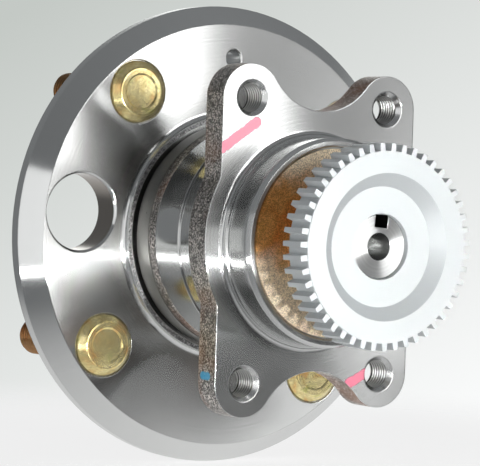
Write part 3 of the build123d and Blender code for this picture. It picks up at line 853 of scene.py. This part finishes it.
class HUB_OT_spindle_end(bpy.types.Operator):
    """Gives the tone ring, the slinger plate and the nut their finishes"""

    bl_idname = "hub_bearing.spindle_end"
    bl_label = "Spindle end"

    def execute(self, context):
        # Zinc flake is pale and matt, so that the teeth show by their shadows.
        flake = plain_metal("sintered steel, matt zinc flake", colours().tone, 0.45, metallic=0.3)
        dress(["tone_ring"], flake)
        mesh = NODES["tone_ring"].data
        centres, normals = face_data(mesh)
        off_cone = np.abs(np.hypot(centres[:, 0], centres[:, 2]) - sizes().cone_r)
        cone = (off_cone < sizes().cone_width / 2) & (normals[:, 1] > -0.95) & (normals[:, 1] < -0.2)
        # The cone in the dish is a little darker: painted shade in the recess.
        pressed_and_cone_shade = plain_metal("sintered steel, dish cone, painted shade", colours().cone, 0.45, metallic=0.3)
        further_finishes(mesh, ((cone, pressed_and_cone_shade),))
        # Dull sheet under a heavy film is brown. A band across the middle of the plate stays brown as
        # painted shade, and above and below it the plate turns cream as painted light.
        sheet = yellow_zinc(
            "sheet steel, yellow zinc plated, painted light and shade", colours().plate, 0.5, 0.35, 0.3, 0.4, 9.0, thin=0.75,
        )
        dress(["slinger_plate", "hub_nut"], sheet)
        return {"FINISHED"}


class HUB_OT_seals(bpy.types.Operator):
    """Gives the shield, the seal cases and the lips their finishes"""

    bl_idname = "hub_bearing.seals"
    bl_label = "Seals"

    def execute(self, context):
        # Phosphate is an even grey with a satin sheen, and rubber is black and dull.
        pressed_and_cone_shade = plain_metal("sheet steel, phosphated", colours().shield, 0.3, 0.5, 0.15)
        dress(["seal_shield", "outboard_seal_case", "inboard_seal_case"], pressed_and_cone_shade)
        rubber = moulded("nitrile rubber, moulded", colours().rubber, 0.55)
        dress(["outboard_seal_lip", "inboard_seal_lip"], rubber)
        return {"FINISHED"}


class HUB_OT_ball_rows(bpy.types.Operator):
    """Gives the balls, the cages and the inner ring their finishes"""

    bl_idname = "hub_bearing.ball_rows"
    bl_label = "Ball rows"

    def execute(self, context):
        # Lapped steel is close to a mirror, and natural nylon is cream and half glossy.
        lapped = plain_metal("bearing steel, lapped", colours().turned, 0.12, 2.0, 0.0)
        dress(BALLS + ["inner_ring"], lapped)
        nylon = moulded("nylon, moulded", colours().cage, 0.45)
        dress(["outboard_cage", "inboard_cage"], nylon)
        return {"FINISHED"}


def mirrored_ray(tree):
    """The light path, and whether a ray comes by way of a mirror or glass, as (node, socket)."""
    seen = add(tree, "ShaderNodeLightPath")
    mirrored = add(
        tree, "ShaderNodeMath",
        {0: seen.outputs["Is Glossy Ray"], 1: seen.outputs["Is Transmission Ray"]}, operation="MAXIMUM",
    )
    return seen, mirrored.outputs[0]


def studio_paper():
    """White paper, matt: it keeps the object's shadow and fades into the backdrop."""
    material, tree = new_material("studio paper")
    place = add(tree, "ShaderNodeTexCoord").outputs["Object"]
    flat = add(
        tree, "ShaderNodeVectorMath", {0: place, 1: (1.0, 1.0, 0.0), 2: FLOOR_SHIFT},
        operation="MULTIPLY_ADD",
    )
    away = add(tree, "ShaderNodeVectorMath", {0: flat.outputs[0]}, operation="LENGTH")
    gone = add(
        tree, "ShaderNodeMapRange",
        {"Value": away.outputs["Value"], "From Min": FLOOR_FADE[0], "From Max": FLOOR_FADE[1]},
        interpolation_type="SMOOTHSTEP",
    )
    paper = add(
        tree, "ShaderNodeBsdfPrincipled",
        {"Base Color": rgba(colours().floor), "Roughness": 0.9, "Specular IOR Level": 0.1},
    )
    seen, mirrored = mirrored_ray(tree)
    shown = add(tree, "ShaderNodeMath", {0: mirrored, 1: seen.outputs["Is Camera Ray"]}, operation="MAXIMUM")
    share = add(tree, "ShaderNodeMath", {0: shown.outputs[0], 1: FLOOR_WHITE}, operation="MULTIPLY")
    white = add(tree, "ShaderNodeEmission", {"Color": (1.0, 1.0, 1.0, 1.0), "Strength": 1.0})
    pale = add(
        tree, "ShaderNodeMixShader", {0: share.outputs[0], 1: paper.outputs[0], 2: white.outputs[0]},
    )
    clear = add(tree, "ShaderNodeBsdfTransparent")
    faded = add(
        tree, "ShaderNodeMixShader", {0: gone.outputs[0], 1: pale.outputs[0], 2: clear.outputs[0]},
    )
    add(tree, "ShaderNodeOutputMaterial", {"Surface": faded.outputs[0]})
    return material


def studio_floor():
    """Lays the sheet of paper that the object stands on."""
    mesh = bpy.data.meshes.new("studio floor")
    corners = ((-1, -1), (1, -1), (1, 1), (-1, 1))
    mesh.from_pydata([(x * FLOOR_HALF, y * FLOOR_HALF, FLOOR_Z) for x, y in corners], [], [(0, 1, 2, 3)])
    mesh.materials.append(studio_paper())
    floor = put("studio_floor", mesh)


def studio_world(scene):
    """Sets a dim room, with a pale paper backdrop that the camera and mirrors see."""
    scene.world = bpy.data.worlds.new("studio")
    scene.world.use_nodes = True
    tree = scene.world.node_tree
    tree.nodes.clear()
    looking = add(tree, "ShaderNodeTexCoord").outputs["Generated"]
    way = add(tree, "ShaderNodeSeparateXYZ", {0: looking})
    front = add(
        tree, "ShaderNodeMapRange", {"Value": way.outputs["Y"], "From Min": -1.0, "From Max": 1.0},
    )
    room = add(
        tree, "ShaderNodeValToRGB", {"Fac": front.outputs[0]},
        [(at, level * ROOM_TINT) for at, level in ROOM],
    )
    rise = add(tree, "ShaderNodeVectorMath", {0: looking, 1: SWEEP_WAY}, operation="DOT_PRODUCT")
    height = add(
        tree, "ShaderNodeMapRange",
        {"Value": rise.outputs["Value"], "From Min": SWEEP_RISE[0], "From Max": SWEEP_RISE[1]},
    )
    sweep = add(
        tree, "ShaderNodeMix",
        {"Factor": height.outputs[0], "A": rgba(colours().sweep_foot), "B": rgba(colours().sweep_top)},
        data_type="RGBA",
    )
    ahead = add(tree, "ShaderNodeVectorMath", {0: looking, 1: -CAMERA_BACK}, operation="DOT_PRODUCT")
    behind = add(
        tree, "ShaderNodeMapRange",
        {"Value": ahead.outputs["Value"], "From Min": SWEEP_AHEAD[0], "From Max": SWEEP_AHEAD[1]},
    )
    seen, mirrored = mirrored_ray(tree)
    shown = add(
        tree, "ShaderNodeMath", {0: mirrored, 1: behind.outputs[0], 2: seen.outputs["Is Camera Ray"]},
        operation="MULTIPLY_ADD", use_clamp=True,
    )
    sky = add(
        tree, "ShaderNodeMix",
        {"Factor": shown.outputs[0], "A": room.outputs["Color"], "B": sweep.outputs["Result"]},
        data_type="RGBA",
    )
    light = add(tree, "ShaderNodeBackground", {"Color": sky.outputs["Result"], "Strength": 1.0})
    add(tree, "ShaderNodeOutputWorld", {"Surface": light.outputs[0]})


def studio_lamps():
    """Hangs the lamps, each turned to the object."""
    for name, way, far, wide, high, yaw, watts in LAMPS:
        lamp = bpy.data.lights.new(name, "AREA")
        lamp.shape = "RECTANGLE"
        lamp.size = wide
        lamp.size_y = high
        lamp.energy = watts
        holder = put(name, lamp)
        holder.visible_camera = False
        spot = Vector(way).normalized() * far
        aim = Matrix.Rotation(yaw, 4, "Z") @ spot.to_track_quat("Z", "Y").to_matrix().to_4x4()
        holder.matrix_world = Matrix.Translation(spot) @ aim


def studio_camera(scene):
    """Stands the camera at the photograph's viewing angle."""
    lens = bpy.data.cameras.new("camera")
    lens.sensor_fit = "HORIZONTAL"
    lens.sensor_width = CAMERA_SENSOR
    lens.lens = CAMERA_LENS
    lens.clip_end = CAMERA_FAR
    scene.camera = put("camera", lens)
    turn = Matrix((CAMERA_RIGHT, CAMERA_UP, CAMERA_BACK)).transposed().to_4x4()
    scene.camera.matrix_world = Matrix.Translation(CAMERA_PLACE) @ turn


class HUB_OT_studio(bpy.types.Operator):
    """Sets up the floor, the world, the lamps and the camera"""

    bl_idname = "hub_bearing.studio"
    bl_label = "Studio"

    def execute(self, context):
        context.scene.view_settings.view_transform = "Standard"
        studio_floor()
        studio_world(context.scene)
        studio_lamps()
        studio_camera(context.scene)
        return {"FINISHED"}


class HUB_PT_panel(bpy.types.Panel):
    """Lists the steps that dress the hub bearing"""

    bl_idname = "HUB_PT_panel"
    bl_label = "Hub Bearing"
    bl_space_type = "VIEW_3D"
    bl_region_type = "UI"
    bl_category = "Hub Bearing"

    def draw(self, context):
        for step in STEPS:
            self.layout.operator(step.bl_idname)
        for group in (context.scene.hub_bearing_sizes, context.scene.hub_bearing_colours):
            for name in group.__annotations__:
                self.layout.prop(group, name)


STEPS = (
    HUB_OT_turned_hub,
    HUB_OT_outer_ring,
    HUB_OT_wheel_studs,
    HUB_OT_spindle_end,
    HUB_OT_seals,
    HUB_OT_ball_rows,
    HUB_OT_studio,
)
CLASSES = (HubBearingSizes, HubBearingColours, *STEPS, HUB_PT_panel)


def register():
    """Adds the classes and the scene's sizes and colours."""
    for each in CLASSES:
        bpy.utils.register_class(each)
    bpy.types.Scene.hub_bearing_sizes = bpy.props.PointerProperty(type=HubBearingSizes)
    bpy.types.Scene.hub_bearing_colours = bpy.props.PointerProperty(type=HubBearingColours)


def unregister():
    """Takes away what register adds."""
    del bpy.types.Scene.hub_bearing_colours
    del bpy.types.Scene.hub_bearing_sizes
    for each in reversed(CLASSES):
        bpy.utils.unregister_class(each)


def main():
    """Dresses the solids and sets up the studio."""
    register()
    bpy.ops.hub_bearing.turned_hub()
    bpy.ops.hub_bearing.outer_ring()
    bpy.ops.hub_bearing.wheel_studs()
    bpy.ops.hub_bearing.spindle_end()
    bpy.ops.hub_bearing.seals()
    bpy.ops.hub_bearing.ball_rows()
    bpy.ops.hub_bearing.studio()


if __name__ == "__main__":
    main()
